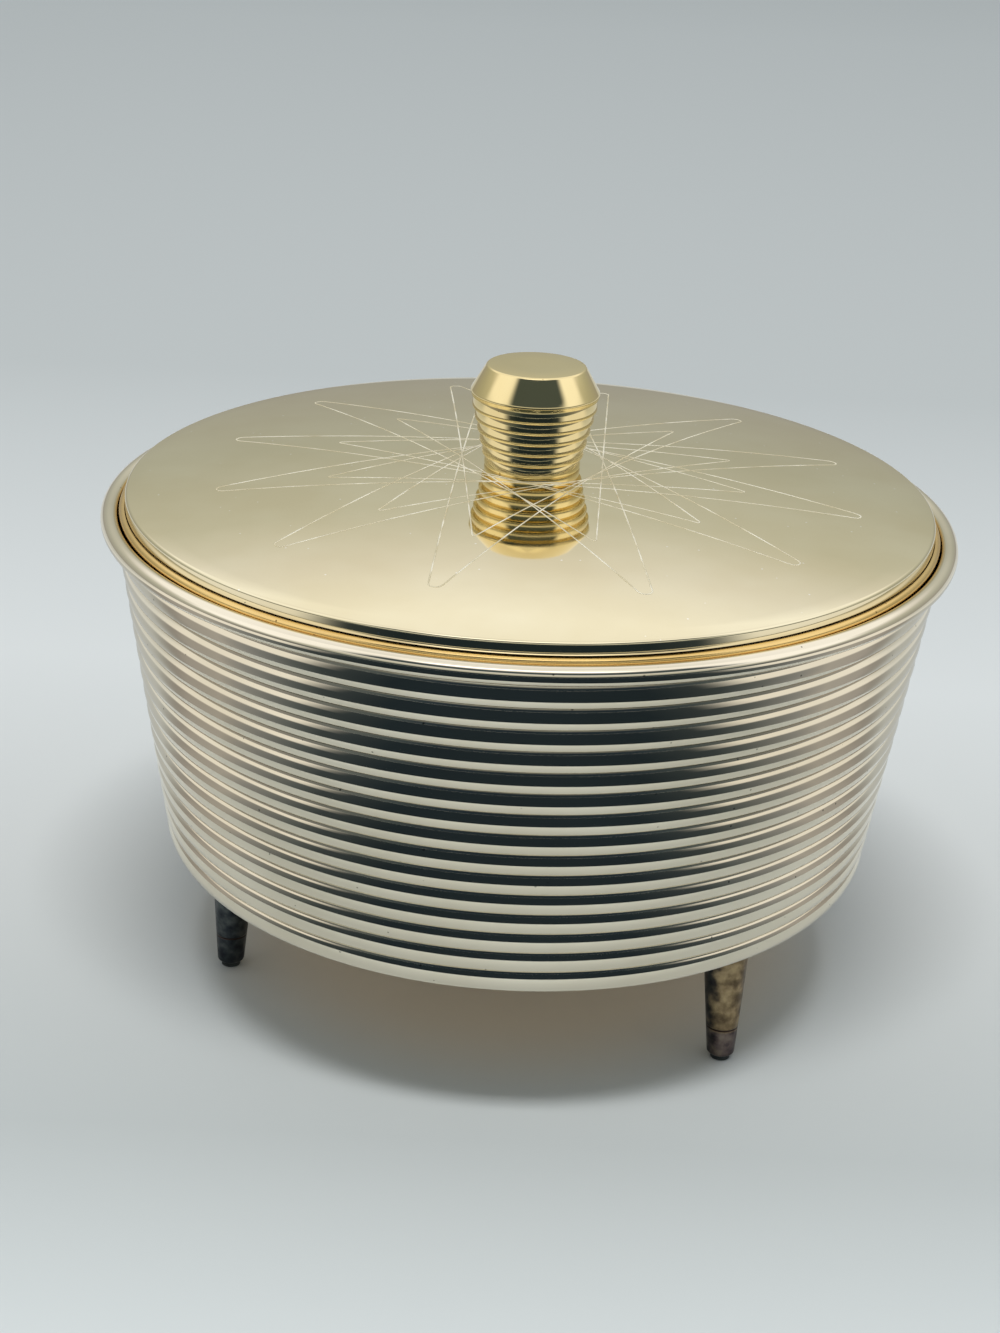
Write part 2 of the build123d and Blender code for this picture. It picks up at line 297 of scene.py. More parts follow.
def lamp_bar(tree, seen, ray, height):
    """The lamp as the metal sees it: a soft bright bar over the camera."""
    bar = math.atan2(LAMP_HEIGHT - BOX_MIDDLE, LAMP_REACH)
    # Square to the line from the box to the lamp, and upright
    over = along_view(0, math.sin(bar)) + Vector((0, 0, math.cos(bar)))
    across = add(
        tree, "ShaderNodeVectorMath", {0: ray, 1: over}, out="Value", operation="DOT_PRODUCT"
    )
    across = add(tree, "ShaderNodeMath", {0: across}, operation="ABSOLUTE")
    across = add(
        tree, "ShaderNodeMapRange", {0: across, 1: 0.06, 2: 0.13, 3: 1.0, 4: 0.0}, **SMOOTH
    )
    along = add(
        tree, "ShaderNodeVectorMath", {0: ray, 1: along_view(1, 0)}, out="Value",
        operation="DOT_PRODUCT",
    )
    along = add(tree, "ShaderNodeMath", {0: along}, operation="ABSOLUTE")
    along = add(
        tree, "ShaderNodeMapRange", {0: along, 1: 0.2, 2: 0.4, 3: 1.0, 4: 0.0}, **SMOOTH
    )
    high = add(
        tree, "ShaderNodeMapRange", {0: height, 1: 0.8, 2: 0.86, 3: 0.0, 4: 1.5}, **SMOOTH
    )
    lit = add(tree, "ShaderNodeMath", {0: across, 1: along}, operation="MULTIPLY")
    lit = add(tree, "ShaderNodeMath", {0: lit, 1: high, 2: 1.15}, operation="MULTIPLY_ADD")
    return add(tree, "ShaderNodeVectorMath", {0: seen, "Scale": lit}, operation="SCALE")


def make_world():
    """A soft pale studio all round, with windows, a dark room and a lamp for the metal."""
    world = bpy.data.worlds.new("studio")
    bpy.context.scene.world = world
    world.use_nodes = True
    tree = world.node_tree
    tree.nodes.clear()
    ray = add(tree, "ShaderNodeTexCoord", out="Generated")
    height = add(tree, "ShaderNodeSeparateXYZ", {0: ray}, out="Z")
    flat = add(tree, "ShaderNodeVectorMath", {0: ray, 1: (1, 1, 0)}, operation="MULTIPLY")
    flat = add(tree, "ShaderNodeVectorMath", {0: flat}, operation="NORMALIZE")
    # The dark parts lie a little to the right of the camera
    ahead = add(
        tree, "ShaderNodeVectorMath", {0: flat, 1: along_view(0.1, -0.995)}, out="Value",
        operation="DOT_PRODUCT",
    )
    seen = add(tree, "ShaderNodeValToRGB", {0: height}, stops=(
        (0.0, "999892"), (0.02, "999892"), (0.26, "ABADA4"), (0.41, "BFC0B7"),
        (0.5, "DEDDDA"), (0.57, "F8F8F6"), (0.8, "F4F4F4"), (1.0, "E6E6E6"),
    ))
    seen = side_windows(tree, seen, flat, height)
    seen = dark_room(tree, seen, ahead, height)
    seen = dark_shape(tree, seen, ahead, height)
    seen = lamp_bar(tree, seen, ray, height)
    # Only what mirrors sees all this: the rest is lit evenly, before a plain backdrop
    path = add(tree, "ShaderNodeLightPath", out="Is Camera Ray")
    glossy = path.node.outputs["Is Glossy Ray"]
    soft = add(
        tree, "ShaderNodeMix", {0: glossy, 6: colour("AFB4B6"), 7: seen}, out=2,
        data_type="RGBA",
    )
    plain = add(
        tree, "ShaderNodeMix", {0: path, 6: soft, 7: colour("B9BFBF")}, out=2,
        data_type="RGBA",
    )
    light = add(tree, "ShaderNodeBackground", {0: plain, 1: 1.0})
    add(tree, "ShaderNodeOutputWorld", {0: light})


def make_lamp():
    """One long soft lamp across the view, high behind the camera, that looks at the box."""
    data = bpy.data.lights.new("top_lamp", "AREA")
    data.shape = "RECTANGLE"
    data.size = 0.85
    data.size_y = 0.3
    data.energy = 22.0
    lamp = bpy.data.objects.new("top_lamp", data)
    # The metal sees the bar in the world instead, which gives no grain
    lamp.visible_glossy = False
    lamp.location = along_view(0, -LAMP_REACH) + Vector((0, 0, LAMP_HEIGHT))
    upward = (lamp.location - Vector((0, 0, BOX_MIDDLE))).normalized()
    across = along_view(1, 0)
    lamp.rotation_euler = Matrix((across, upward.cross(across), upward)).transposed().to_euler()
    bpy.context.scene.collection.objects.link(lamp)


make_floor()
make_card()
make_world()
make_lamp()


# Materials: patterns first, then the metals and the rubber made from them


def turned_lines(tree, spacing, seed):
    """Fine rings left by the tool, spacing millimetres apart, along the radius and height."""
    spot = add(tree, "ShaderNodeTexCoord", out="Object")
    parts = add(tree, "ShaderNodeSeparateXYZ", {0: spot}).node.outputs
    flat = add(tree, "ShaderNodeCombineXYZ", {0: parts[0], 1: parts[1]})
    reach = add(tree, "ShaderNodeVectorMath", {0: flat}, out="Value", operation="LENGTH")
    rings = add(tree, "ShaderNodeCombineXYZ", {0: reach, 1: parts[2], 2: seed})
    return add(
        tree, "ShaderNodeTexNoise",
        {"Vector": rings, "Scale": 1 / (spacing * MM), "Detail": 3.0, "Roughness": 0.6},
    )


def clouds(tree, size, seed, detail=3.0):
    """Soft patches about size millimetres across."""
    spot = add(tree, "ShaderNodeTexCoord", out="Object")
    moved = add(tree, "ShaderNodeMapping", {0: spot, 1: (seed, seed * 0.7, seed * 1.3)})
    return add(
        tree, "ShaderNodeTexNoise",
        {"Vector": moved, "Scale": 1 / (size * MM), "Detail": detail},
    )


def specks(tree, gap, size, seed):
    """One in small round marks of this size, about gap millimetres apart, zero elsewhere."""
    spot = add(tree, "ShaderNodeTexCoord", out="Object")
    moved = add(tree, "ShaderNodeMapping", {0: spot, 1: (seed, seed, seed)})
    near = add(
        tree, "ShaderNodeTexVoronoi", {"Vector": moved, "Scale": 1 / (gap * MM)},
        out="Distance",
    )
    return add(
        tree, "ShaderNodeMapRange", {0: near, 1: size / gap * 0.6, 2: size / gap, 3: 1.0, 4: 0.0},
        **SMOOTH,
    )


def spun_metal(name, light, deep, gloss, ring_gap, ring_depth, pit):
    """Anodised aluminium: haze from handling, pits, soft dents and rings from the tool."""
    material, tree = empty_material(name)
    haze = clouds(tree, size=22, seed=0.3)
    tint = add(tree, "ShaderNodeValToRGB", {0: haze}, stops=((0.35, deep), (0.65, light)))
    pits = specks(tree, gap=3.2, size=0.2, seed=0.7)
    tint = add(
        tree, "ShaderNodeMix", {0: pits, 6: tint, 7: colour(pit)}, out=2, data_type="RGBA"
    )
    shine = add(
        tree, "ShaderNodeMapRange",
        {0: clouds(tree, size=9, seed=0.9), 1: 0.35, 2: 0.7, 3: gloss[0], 4: gloss[1]},
        **SMOOTH,
    )
    # The rings are drawn two to five times coarser than real ones, so that they show
    rings = add(
        tree, "ShaderNodeBump",
        {"Strength": 1.0, "Distance": ring_depth * MM,
         "Height": turned_lines(tree, ring_gap, seed=0.2)},
    )
    dents = add(
        tree, "ShaderNodeBump",
        {"Strength": 1.0, "Distance": 0.01 * MM, "Normal": rings,
         "Height": clouds(tree, size=9, seed=0.1, detail=1.0)},
    )
    metal = add(
        tree, "ShaderNodeBsdfPrincipled",
        {"Base Color": tint, "Metallic": 1.0, "Roughness": shine, "Normal": dents},
    )
    add(tree, "ShaderNodeOutputMaterial", {0: metal})
    return material


def silver_metal():
    """Bright anodised silver, so near a mirror that each rib carries the whole room."""
    return spun_metal(
        "bright_spun_aluminium", light="EFE6D2", deep="E6DCC6", gloss=(0.03, 0.07),
        ring_gap=0.5, ring_depth=0.0008, pit="8C887C",
    )


def lid_metal():
    """Pale gold, the smoothest of the metals, with light dust where the others have pits."""
    return spun_metal(
        "pale_gold_anodised", light="EEE4C5", deep="E7DBB8", gloss=(0.03, 0.06),
        ring_gap=0.3, ring_depth=0.0003, pit="FFFBF0",
    )


def liner_metal():
    """Deeper satin gold, which shows as a soft warm ring between the rim and the lid."""
    return spun_metal(
        "gold_anodised_liner", light="EDCC89", deep="E4C07A", gloss=(0.16, 0.26),
        ring_gap=0.4, ring_depth=0.002, pit="8A7040",
    )


def knob_metal():
    """Polished gold, richer than the lid, whose ribs catch sharp bands of light and dark."""
    return spun_metal(
        "gold_turned_knob", light="F3E2B0", deep="EBD7A0", gloss=(0.03, 0.06),
        ring_gap=0.25, ring_depth=0.0005, pit="9A8450",
    )


def leg_tint(tree, patches, across, height):
    """Warm brown towards the window, painted shade in dark grey away from it, and purple brown
    near the foot.
    """
    bright = add(
        tree, "ShaderNodeValToRGB", {0: patches},
        stops=((0.36, "665743"), (0.5, "8C795C"), (0.66, "B5A07B")),
    )
    painted_shade_grey = add(
        tree, "ShaderNodeValToRGB", {0: patches},
        stops=((0.36, "2A2D33"), (0.5, "3E4346"), (0.66, "5A5E5D")),
    )
    purple = add(
        tree, "ShaderNodeValToRGB", {0: patches},
        stops=((0.36, "483D40"), (0.5, "655957"), (0.66, "82756B")),
    )
    # Below the turned line the colour turns purple brown
    low = add(
        tree, "ShaderNodeMapRange", {0: height, 1: 5.4 * MM, 2: 6.2 * MM, 3: 1.0, 4: 0.0},
        **SMOOTH,
    )
    warm = add(
        tree, "ShaderNodeMix", {0: low, 6: bright, 7: purple}, out=2, data_type="RGBA"
    )
    # Painted shade: the side away from the window is coloured dark grey, with an uneven edge
    uneven = add(
        tree, "ShaderNodeMath", {0: patches, 1: 4.0 * MM, 2: across}, operation="MULTIPLY_ADD"
    )
    painted_lit_side = add(
        tree, "ShaderNodeMapRange", {0: uneven, 1: 42.6 * MM, 2: 45.2 * MM, 3: 0.0, 4: 1.0},
        **SMOOTH,
    )
    # The leg at the back gets little of the painted shade
    behind = add(tree, "ShaderNodeMath", {0: across}, operation="ABSOLUTE")
    behind = add(
        tree, "ShaderNodeMapRange", {0: behind, 1: 10.0 * MM, 2: 20.0 * MM, 3: 0.8, 4: 0.0},
        **SMOOTH,
    )
    painted_lit_side = add(tree, "ShaderNodeMath", {0: painted_lit_side, 1: behind}, operation="MAXIMUM")
    return add(
        tree, "ShaderNodeMix", {0: painted_lit_side, 6: painted_shade_grey, 7: warm}, out=2, data_type="RGBA"
    )


def leg_metal():
    """Turned brass whose thin plating has worn and tarnished, with painted shade down one side,
    and a line cut round it.
    """
    material, tree = empty_material("tarnished_brass_leg_painted_shade")
    spot = add(tree, "ShaderNodeTexCoord", out="Object")
    parts = add(tree, "ShaderNodeSeparateXYZ", {0: spot}).node.outputs
    patches = clouds(tree, size=2.2, seed=0.4, detail=8.0)
    tint = leg_tint(tree, patches, parts[0], parts[2])
    # One where the fine line lies, six millimetres up
    off_line = add(tree, "ShaderNodeMath", {0: parts[2], 1: 6.1 * MM}, operation="SUBTRACT")
    off_line = add(tree, "ShaderNodeMath", {0: off_line}, operation="ABSOLUTE")
    in_line = add(
        tree, "ShaderNodeMapRange", {0: off_line, 1: 0.08 * MM, 2: 0.24 * MM, 3: 1.0, 4: 0.0},
        **SMOOTH,
    )
    tint = add(
        tree, "ShaderNodeMix", {0: in_line, 6: tint, 7: colour("3A2E2A")}, out=2,
        data_type="RGBA",
    )
    shine = add(
        tree, "ShaderNodeMapRange", {0: clouds(tree, 3, 0.2), 1: 0.3, 2: 0.7, 3: 0.28, 4: 0.5},
        **SMOOTH,
    )
    # The rings are drawn about twice as coarse as real ones, so that they show
    rings = add(
        tree, "ShaderNodeBump",
        {"Strength": 1.0, "Distance": 0.004 * MM, "Height": turned_lines(tree, 0.3, 0.5)},
    )
    cut = add(
        tree, "ShaderNodeBump",
        {"Strength": 1.0, "Distance": 0.15 * MM, "Height": in_line, "Normal": rings},
        invert=True,
    )
    metal = add(
        tree, "ShaderNodeBsdfPrincipled",
        {"Base Color": tint, "Metallic": 1.0, "Roughness": shine, "Normal": cut},
    )
    add(tree, "ShaderNodeOutputMaterial", {0: metal})
    return material


def tip_rubber():
    """Moulded black rubber, matt and a little dusty, so the feet end in soft dark spots."""
    material, tree = empty_material("black_rubber_tip")
    tint = add(
        tree, "ShaderNodeValToRGB", {0: clouds(tree, 1.2, 0.5)},
        stops=((0.3, "141A19"), (0.8, "2C3331")),
    )
    ridge = add(
        tree, "ShaderNodeBump",
        {"Strength": 0.6, "Distance": 0.02 * MM, "Height": clouds(tree, 0.3, 0.1)},
    )
    rubber = add(
        tree, "ShaderNodeBsdfPrincipled",
        {"Base Color": tint, "Roughness": 0.6, "Normal": ridge},
    )
    add(tree, "ShaderNodeOutputMaterial", {0: rubber})
    return material


def screw_steel():
    """Zinc-plated steel, whose small crystal patches give a cool, uneven grey."""
    material, tree = empty_material("zinc_plated_steel")
    tint = add(
        tree, "ShaderNodeValToRGB", {0: clouds(tree, 0.8, 0.6)},
        stops=((0.3, "9EA09F"), (0.7, "C4C5C1")),
    )
    shine = add(
        tree, "ShaderNodeMapRange", {0: clouds(tree, 0.5, 0.3), 1: 0.3, 2: 0.7, 3: 0.25, 4: 0.42},
        **SMOOTH,
    )
    metal = add(
        tree, "ShaderNodeBsdfPrincipled",
        {"Base Color": tint, "Metallic": 1.0, "Roughness": shine},
    )
    add(tree, "ShaderNodeOutputMaterial", {0: metal})
    return material


# Spun pieces: a section in millimetres is carried round the axis by Geometry Nodes


def new_tree(name, inputs):
    """A Geometry Nodes tree with its named inputs."""
    tree = bpy.data.node_groups.new(name, "GeometryNodeTree")
    tree.interface.new_socket("Geometry", in_out="INPUT", socket_type="NodeSocketGeometry")
    for label, kind in inputs.items():
        tree.interface.new_socket(label, in_out="INPUT", socket_type="NodeSocket" + kind)
    tree.interface.new_socket("Geometry", in_out="OUTPUT", socket_type="NodeSocketGeometry")
    return tree, tree.nodes.new("NodeGroupInput").outputs


RIB_SIZES = {
    "Ribs": "Int", "Steps": "Int", "Groove": "Vector", "Rise": "Vector", "Bulge": "Vector",
    "Hollow": "Float", "Skew": "Float",
}


def rib_tree():
    """A stack of ribs as a line: each rib swells and sinks once, as rolled ribs do."""
    tree, given = new_tree("rib_stack", RIB_SIZES)
    count = add(
        tree, "ShaderNodeMath", {0: given["Ribs"], 1: given["Steps"], 2: 1.0},
        operation="MULTIPLY_ADD",
    )
    line = add(tree, "GeometryNodeMeshLine", {"Count": count})
    index = add(tree, "GeometryNodeInputIndex")
    place = add(tree, "ShaderNodeMath", {0: index, 1: given["Steps"]}, operation="DIVIDE")
    # Within one rib: skewed towards its lower edge, then a half wave that fills or narrows it
    within = add(tree, "ShaderNodeMath", {0: place}, operation="FRACT")
    within = add(tree, "ShaderNodeMath", {0: within, 1: given["Skew"]}, operation="POWER")
    wave = add(tree, "ShaderNodeMath", {0: within, 1: math.pi}, operation="MULTIPLY")
    wave = add(tree, "ShaderNodeMath", {0: wave}, operation="SINE")
    wave = add(tree, "ShaderNodeMath", {0: wave}, operation="ABSOLUTE")
    swell = add(tree, "ShaderNodeMath", {0: wave, 1: given["Hollow"]}, operation="POWER")
    base = add(
        tree, "ShaderNodeVectorMath",
        {0: given["Rise"], 1: place, 2: given["Groove"]}, operation="MULTIPLY_ADD",
    )
    spot = add(
        tree, "ShaderNodeVectorMath", {0: given["Bulge"], 1: swell, 2: base},
        operation="MULTIPLY_ADD",
    )
    shaped = add(tree, "GeometryNodeSetPosition", {"Geometry": line, "Position": spot})
    add(tree, "NodeGroupOutput", {0: shaped})
    return tree


def spin_tree(rows):
    """Carries the section, with any rows of ribs in it, round the axis as one skin."""
    sizes = {"Around": "Int", "Material": "Material"}
    for row in rows:
        sizes.update({row + label: kind for label, kind in RIB_SIZES.items()})
    tree, given = new_tree("spun_piece", sizes)
    joined = tree.nodes.new("GeometryNodeJoinGeometry")
    tree.links.new(given["Geometry"], joined.inputs[0])
    for row in rows:
        wall = add(tree, "GeometryNodeGroup", node_tree=rib_stack)
        for label in RIB_SIZES:
            tree.links.new(given[row + label], wall.node.inputs[label])
        tree.links.new(wall, joined.inputs[0])
    lines = joined.outputs[0]
    # The path is a ring as large as this, so the section is moved in by as much
    path_radius = 0.1
    spot = add(tree, "GeometryNodeInputPosition")
    parts = add(tree, "ShaderNodeSeparateXYZ", {0: spot}).node.outputs
    inward = add(tree, "ShaderNodeMath", {0: parts[0], 1: path_radius}, operation="SUBTRACT")
    down = add(tree, "ShaderNodeMath", {0: parts[2], 1: -1.0}, operation="MULTIPLY")
    spot = add(tree, "ShaderNodeCombineXYZ", {0: inward, 1: down})
    lines = add(tree, "GeometryNodeSetPosition", {"Geometry": lines, "Position": spot})
    section = add(tree, "GeometryNodeMeshToCurve", {0: lines})
    ring = add(
        tree, "GeometryNodeCurvePrimitiveCircle",
        {"Resolution": given["Around"], "Radius": path_radius},
    )
    skin = add(tree, "GeometryNodeCurveToMesh", {0: ring, "Profile Curve": section})
    skin = add(tree, "GeometryNodeMergeByDistance", {0: skin, "Distance": 0.01 * MM})
    skin = add(tree, "GeometryNodeRealizeInstances", {0: skin})
    skin = add(tree, "GeometryNodeSetMaterial", {0: skin, "Material": given["Material"]})
    add(tree, "NodeGroupOutput", {0: skin})
    return tree


def section_mesh(name, sections):
    """Separate lines in the plane of the section, from points in millimetres."""
    points, edges = [], []
    for section in sections:
        first = len(points)
        points += [(radius * MM, 0, height * MM) for radius, height in section]
        edges += [(first + i, first + i + 1) for i in range(len(section) - 1)]
    mesh = bpy.data.meshes.new(name)
    mesh.from_pydata(points, edges, [])
    return mesh


def plain_result(piece, tree, values):
    """Runs a tree on a piece and leaves its result as a plain mesh."""
    worker = piece.modifiers.new(tree.name, "NODES")
    worker.node_group = tree
    for item in tree.interface.items_tree:
        if item.in_out == "INPUT" and item.name in values:
            worker[item.identifier] = values[item.name]
    graph = bpy.context.evaluated_depsgraph_get()
    graph.update()
    result = bpy.data.meshes.new_from_object(piece.evaluated_get(graph))
    piece.modifiers.remove(worker)
    piece.data = result


# Faces that meet at more than this make a sharp corner
SHARP = math.radians(35)


def close_up(mesh):
    """Merges doubles, turns faces outwards, and keeps only real corners sharp."""
    shape = bmesh.new()
    shape.from_mesh(mesh)
    bmesh.ops.remove_doubles(shape, verts=shape.verts, dist=0.005 * MM)
    bmesh.ops.recalc_face_normals(shape, faces=shape.faces)
    shape.to_mesh(mesh)
    mesh.shade_smooth()
    mesh.set_sharp_from_angle(angle=SHARP)


def spun(name, tree, sections, material, around, ribs=None):
    """A piece spun from its section lines, with the rows of ribs that it has."""
    piece = bpy.data.objects.new(name, section_mesh(name, sections))
    bpy.context.scene.collection.objects.link(piece)
    values = {"Around": around, "Material": material}
    values.update(ribs or {})
    plain_result(piece, tree, values)
    close_up(piece.data)
    return piece


def arc(centre, radius, start, end, steps):
    """Points on a round part of a section, angles in degrees from the outward side."""
    turns = [math.radians(start + (end - start) * i / steps) for i in range(steps + 1)]
    return [(centre[0] + radius * math.cos(t), centre[1] + radius * math.sin(t)) for t in turns]


def rib_values(row, groove, rise, count, depth, steps, hollow, skew=1.0):
    """Inputs of one row of ribs: its lowest groove, one rib's rise, and how far it swells.

    Hollow below one makes each rib fuller, and skew below one moves its widest place down.
    """
    chord = math.hypot(*rise)
    outward = (rise[1] / chord, -rise[0] / chord)
    values = {
        "Ribs": count,
        "Steps": steps,
        "Groove": (groove[0] * MM, 0, groove[1] * MM),
        "Rise": (rise[0] * MM, 0, rise[1] * MM),
        "Bulge": (depth * outward[0] * MM, 0, depth * outward[1] * MM),
        "Hollow": hollow,
        "Skew": skew,
    }
    return {row + label: value for label, value in values.items()}


rib_stack = rib_tree()
plain_spin = spin_tree(())
one_row_spin = spin_tree(("Outer ",))
two_row_spin = spin_tree(("Outer ", "Inner "))


def cut_holes(piece, radius, reach, low, high, turns):
    """Cuts upright round holes through a piece, at these turns round the axis."""
    shape = bmesh.new()
    for turn in turns:
        place = Matrix.Rotation(math.radians(turn), 4, "Z")
        place @= Matrix.Translation((reach * MM, 0, (low + high) / 2 * MM))
        bmesh.ops.create_cone(
            shape, cap_ends=True, segments=32, radius1=radius * MM, radius2=radius * MM,
            depth=(high - low) * MM, matrix=place,
        )
    mesh = bpy.data.meshes.new("drills")
    shape.to_mesh(mesh)
    drills = bpy.data.objects.new("drills", mesh)
    bpy.context.scene.collection.objects.link(drills)
    cut = piece.modifiers.new("drilled", "BOOLEAN")
    cut.operation = "DIFFERENCE"
    cut.solver = "EXACT"
    cut.object = drills
    graph = bpy.context.evaluated_depsgraph_get()
    graph.update()
    result = bpy.data.meshes.new_from_object(piece.evaluated_get(graph))
    piece.modifiers.remove(cut)
    piece.data = result
    bpy.data.objects.remove(drills)


def make_shell():
    """The silver cup: fifteen ribs pressed through the sheet, a flat floor and a rolled rim."""
    sheet, foot, bottom = 0.9, 59.65, 25.3
    count, spread, pitch, depth, hollow = 15, 7.4, 3.56, 0.45, 0.8
    rise = (spread / count, pitch)
    groove = (foot, bottom)
    inner_groove = (foot + rise[0] - sheet, bottom + rise[1])
    top = (foot + spread, bottom + count * pitch)
    # The rim is a hollow bead, a hair slimmer than the solid's so that it stays within it
    rim, bead, bead_bore = (68.5, 81.0), 1.49, 0.6
    roll = [top] + arc(rim, bead_bore, 180, -100, 14) + arc(rim, bead, -100, 180, 28)
    roll += [(top[0] - sheet, top[1])]
    inside = bottom + sheet
    inner_floor = [inner_groove, (59.4, 27.5), (59.2, inside), (30, inside), (0, inside)]
    floor = [(0, bottom), (30, bottom), groove]
    ribs = rib_values("Outer ", groove, rise, count, depth, 14, hollow)
    ribs.update(rib_values("Inner ", inner_groove, rise, count - 1, depth, 8, hollow))
    sections = [roll, inner_floor, floor]
    shell = spun("ribbed_cup", two_row_spin, sections, silver_metal(), 240, ribs)
    # Holes for the three leg screws
    cut_holes(shell, radius=1.75, reach=49.2, low=24.0, high=27.5, turns=(90, 210, 330))
    shell.data.set_sharp_from_angle(angle=SHARP)
    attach(shell, "box")
    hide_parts("body_shell")


def make_liner():
    """The gold bowl, which hangs in the cup by its rolled lip."""
    sheet, bottom, corner, slope = 0.5, 29.8, 6.0, 0.13858
    lip, roll = (66.3, 82.078), 0.75
    # The outside of the wall meets the roll from below, just inside the roll's middle
    cut = 0.25
    join = (lip[0] - cut, lip[1] - math.sqrt(roll**2 - cut**2))
    join_turn = math.degrees(math.atan2(join[1] - lip[1], join[0] - lip[0]))
    over = arc(lip, roll, join_turn, 180, 20)
    foot = join[0] - slope * (join[1] - bottom)
    centre = (foot - 5.2, bottom + corner)
    outside = [(0, bottom)] + arc(centre, corner, -90, -8, 8)
    inside = arc(centre, corner - sheet, -8, -90, 8) + [(0, bottom + sheet)]
    liner = spun("gold_bowl", plain_spin, [outside + over + inside], liner_metal(), 192)
    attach(liner, "liner")
    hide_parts("liner_bowl")


# The lid is part of a large ball whose middle lies this far under the floor
DOME_RADIUS, DOME_DROP = 520.0, 430.8318
# The knob stands on the dome out to here
KNOB_SEAT = 8.1


def dome(radius, drop=0.0):
    """A point on the lid's dome, or this far under it."""
    return (radius, math.sqrt(DOME_RADIUS**2 - radius**2) - DOME_DROP - drop)


def make_lid():
    """The pale gold domed lid, with its skirt, ledge and neck."""
    sheet, hole, seat = 0.8, 2.25, dome(KNOB_SEAT)
    edge, rounding, meeting = (65.45, 84.428), 0.6, 65.37
    skirt = edge[0] + rounding
    ledge, neck, neck_end = 83.028, 64.59, 78.03
    bore = neck - sheet
    outside = [(hole, seat[1]), seat]
    outside += [dome(KNOB_SEAT + (meeting - KNOB_SEAT) * step / 24) for step in range(1, 24)]
    outside += arc(edge, rounding, 82.8, 0, 8)
    under = [(skirt, ledge), (neck, ledge), (neck, neck_end), (bore, neck_end)]
    inside = [dome(bore + (KNOB_SEAT - bore) * step / 12, sheet) for step in range(13)]
    inside += [(hole, seat[1] - sheet), (hole, seat[1])]
    lid = spun("domed_lid", plain_spin, [outside + under + inside], lid_metal(), 240)
    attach(lid, "lid")
    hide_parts("lid")


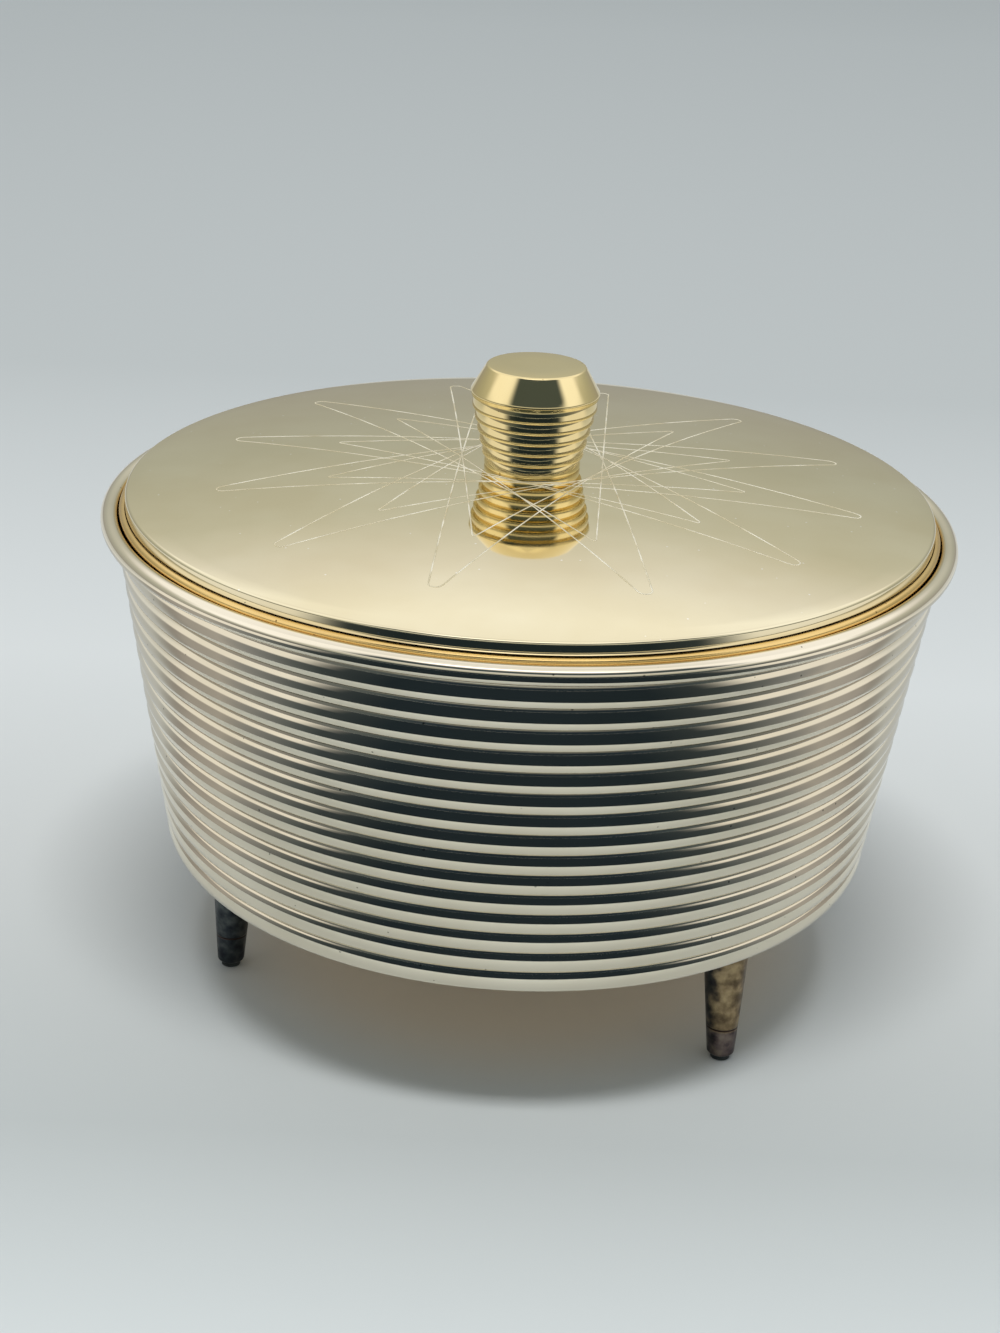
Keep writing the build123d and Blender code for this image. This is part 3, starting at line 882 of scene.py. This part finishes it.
def star_tree():
    """Lines cut round the lid on its dome: loops of long and short petals in turn."""
    tree, given = new_tree("petal_lines", {
        "Petals": "Int", "Long Reach": "Float", "Short Reach": "Float", "Long Round": "Float",
        "Short Round": "Float", "Step Angle": "Float", "Start Angle": "Float",
        "Middle": "Vector", "Dome Radius": "Float", "Dome Drop": "Float",
        "Line Width": "Float", "Line Height": "Float", "Material": "Material",
    })
    line = add(tree, "GeometryNodeMeshLine", {"Count": given["Petals"]})
    index = add(tree, "GeometryNodeInputIndex")
    odd = add(tree, "ShaderNodeMath", {0: index, 1: 2.0}, operation="MODULO")
    reach = add(
        tree, "ShaderNodeMapRange",
        {0: odd, 3: given["Long Reach"], 4: given["Short Reach"]},
    )
    # A cutter guided by hand strays a little in reach and in angle
    stray, stray_turn = 1.3 * MM, 0.03
    unsteady = add(tree, "FunctionNodeRandomValue", {2: -stray, 3: stray, "Seed": 4}, out=1)
    reach = add(tree, "ShaderNodeMath", {0: reach, 1: unsteady}, operation="ADD")
    angle = add(
        tree, "ShaderNodeMath", {0: index, 1: given["Step Angle"], 2: given["Start Angle"]},
        operation="MULTIPLY_ADD",
    )
    unsteady = add(
        tree, "FunctionNodeRandomValue", {2: -stray_turn, 3: stray_turn, "Seed": 9}, out=1
    )
    angle = add(tree, "ShaderNodeMath", {0: angle, 1: unsteady}, operation="ADD")
    tip = add(tree, "ShaderNodeCombineXYZ", {0: reach})
    tip = add(
        tree, "ShaderNodeVectorRotate", {"Vector": tip, "Angle": angle}, rotation_type="Z_AXIS"
    )
    line = add(tree, "GeometryNodeSetPosition", {"Geometry": line, "Position": tip})
    path = add(tree, "GeometryNodeMeshToCurve", {0: line})
    path = add(tree, "GeometryNodeSetSplineCyclic", {"Geometry": path, "Cyclic": True})
    bend = add(
        tree, "ShaderNodeMapRange",
        {0: odd, 3: given["Long Round"], 4: given["Short Round"]},
    )
    path = add(
        tree, "GeometryNodeFilletCurve", {"Curve": path, "Radius": bend, "Count": 10},
        mode="POLY",
    )
    # Two such loops, turned by half the angle between their long petals
    pair = add(tree, "GeometryNodeMeshLine", {"Count": 2, "Offset": (0, 0, 0)})
    half = add(tree, "ShaderNodeMath", {0: index, 1: math.radians(30)}, operation="MULTIPLY")
    turned = add(tree, "ShaderNodeCombineXYZ", {2: half})
    loops = add(
        tree, "GeometryNodeInstanceOnPoints",
        {"Points": pair, "Instance": path, "Rotation": turned},
    )
    loops = add(tree, "GeometryNodeRealizeInstances", {0: loops})
    loops = add(
        tree, "GeometryNodeResampleCurve", {"Curve": loops, "Length": 0.5 * MM}, mode="LENGTH"
    )
    # Every point is lifted on to the dome
    spot = add(tree, "GeometryNodeInputPosition")
    spot = add(tree, "ShaderNodeVectorMath", {0: spot, 1: given["Middle"]}, operation="ADD")
    flat = add(
        tree, "ShaderNodeVectorMath", {0: spot, 1: spot}, out="Value", operation="DOT_PRODUCT"
    )
    square = add(
        tree, "ShaderNodeMath", {0: given["Dome Radius"], 1: given["Dome Radius"]},
        operation="MULTIPLY",
    )
    rise = add(tree, "ShaderNodeMath", {0: square, 1: flat}, operation="SUBTRACT")
    rise = add(tree, "ShaderNodeMath", {0: rise}, operation="SQRT")
    rise = add(tree, "ShaderNodeMath", {0: rise, 1: given["Dome Drop"]}, operation="SUBTRACT")
    up = add(tree, "ShaderNodeCombineXYZ", {2: rise})
    spot = add(tree, "ShaderNodeVectorMath", {0: spot, 1: up}, operation="ADD")
    loops = add(tree, "GeometryNodeSetPosition", {"Geometry": loops, "Position": spot})
    loops = add(tree, "GeometryNodeSetCurveNormal", {"Curve": loops}, mode="Z_UP")
    strip = add(
        tree, "GeometryNodeCurvePrimitiveQuadrilateral",
        {"Width": given["Line Width"], "Height": given["Line Height"]},
    )
    lines = add(tree, "GeometryNodeCurveToMesh", {0: loops, "Profile Curve": strip})
    lines = add(tree, "GeometryNodeRealizeInstances", {0: lines})
    lines = add(tree, "GeometryNodeSetMaterial", {0: lines, "Material": given["Material"]})
    add(tree, "NodeGroupOutput", {0: lines})
    return tree


def line_metal():
    """Raw aluminium laid bare by the cutter: pale matt lines on the gold, deeper in places."""
    material, tree = empty_material("cut_line_raw_aluminium")
    depth = clouds(tree, 6, 0.8, 2.0)
    tint = add(tree, "ShaderNodeValToRGB", {0: depth}, stops=((0.38, "E0D4B2"), (0.6, "FFF9E6")))
    metal = add(
        tree, "ShaderNodeBsdfPrincipled",
        {"Base Color": tint, "Metallic": 0.5, "Roughness": 0.5},
    )
    add(tree, "ShaderNodeOutputMaterial", {0: metal})
    return material


def make_star():
    """Two loops of line round the knob, each with six long and six short petals."""
    piece = bpy.data.objects.new("lid_petal_lines", bpy.data.meshes.new("lid_petal_lines"))
    bpy.context.scene.collection.objects.link(piece)
    plain_result(piece, star_tree(), {
        "Petals": 12,
        "Long Reach": 58.0 * MM,
        "Short Reach": 35.6 * MM,
        "Long Round": 1.1 * MM,
        "Short Round": 0.3 * MM,
        "Step Angle": math.radians(150),
        "Start Angle": math.radians(1.4),
        "Middle": along_view(0.3 * MM, 1.5 * MM),
        "Dome Radius": DOME_RADIUS * MM,
        "Dome Drop": DOME_DROP * MM,
        "Line Width": 0.24 * MM,
        "Line Height": 0.04 * MM,
        "Material": line_metal(),
    })
    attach(piece, "lid")


def make_knob():
    """The turned gold knob: six ribs, a shoulder, a bevel and a flat top."""
    foot, bottom, height = 7.2, dome(KNOB_SEAT)[1], 16.8
    count, spread, pitch, depth, hollow, skew = 6, 2.75, 1.95, 0.6, 0.8, 0.4
    bore, bore_depth = 2.05, 9.0
    rise = (spread / count, pitch)
    groove = (foot, bottom)
    neck = (foot + spread, bottom + count * pitch)
    top = bottom + height
    # A rounded shoulder over the ribs, then a bevel up to the rounded edge of the top
    head = [neck, (10.35, neck[1] + 0.1)] + arc((9.9, neck[1] + 0.75), 0.6, -30, 31, 6)
    head += arc((7.75, top - 0.5), 0.5, 33, 90, 5) + [(4.0, top), (0, top)]
    inside = [(0, bottom + bore_depth), (bore, bottom + bore_depth), (bore, bottom), groove]
    ribs = rib_values("Outer ", groove, rise, count, depth, 18, hollow, skew)
    knob = spun("turned_knob", one_row_spin, [head, inside], knob_metal(), 128, ribs)
    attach(knob, "lid")
    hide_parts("knob")


make_shell()
make_liner()
make_lid()
make_star()
make_knob()


def dress_frame_nodes():
    """The solids whose shape is right keep it and get their finish."""
    finishes = {
        leg_metal(): ("leg_rear", "leg_left", "leg_right"),
        tip_rubber(): ("foot_tips",),
        screw_steel(): ("knob_screw", "knob_washer", "leg_screws", "leg_washers"),
    }
    for material, names in finishes.items():
        for name in names:
            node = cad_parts[name]
            for slot in node.material_slots:
                slot.material = material


dress_frame_nodes()
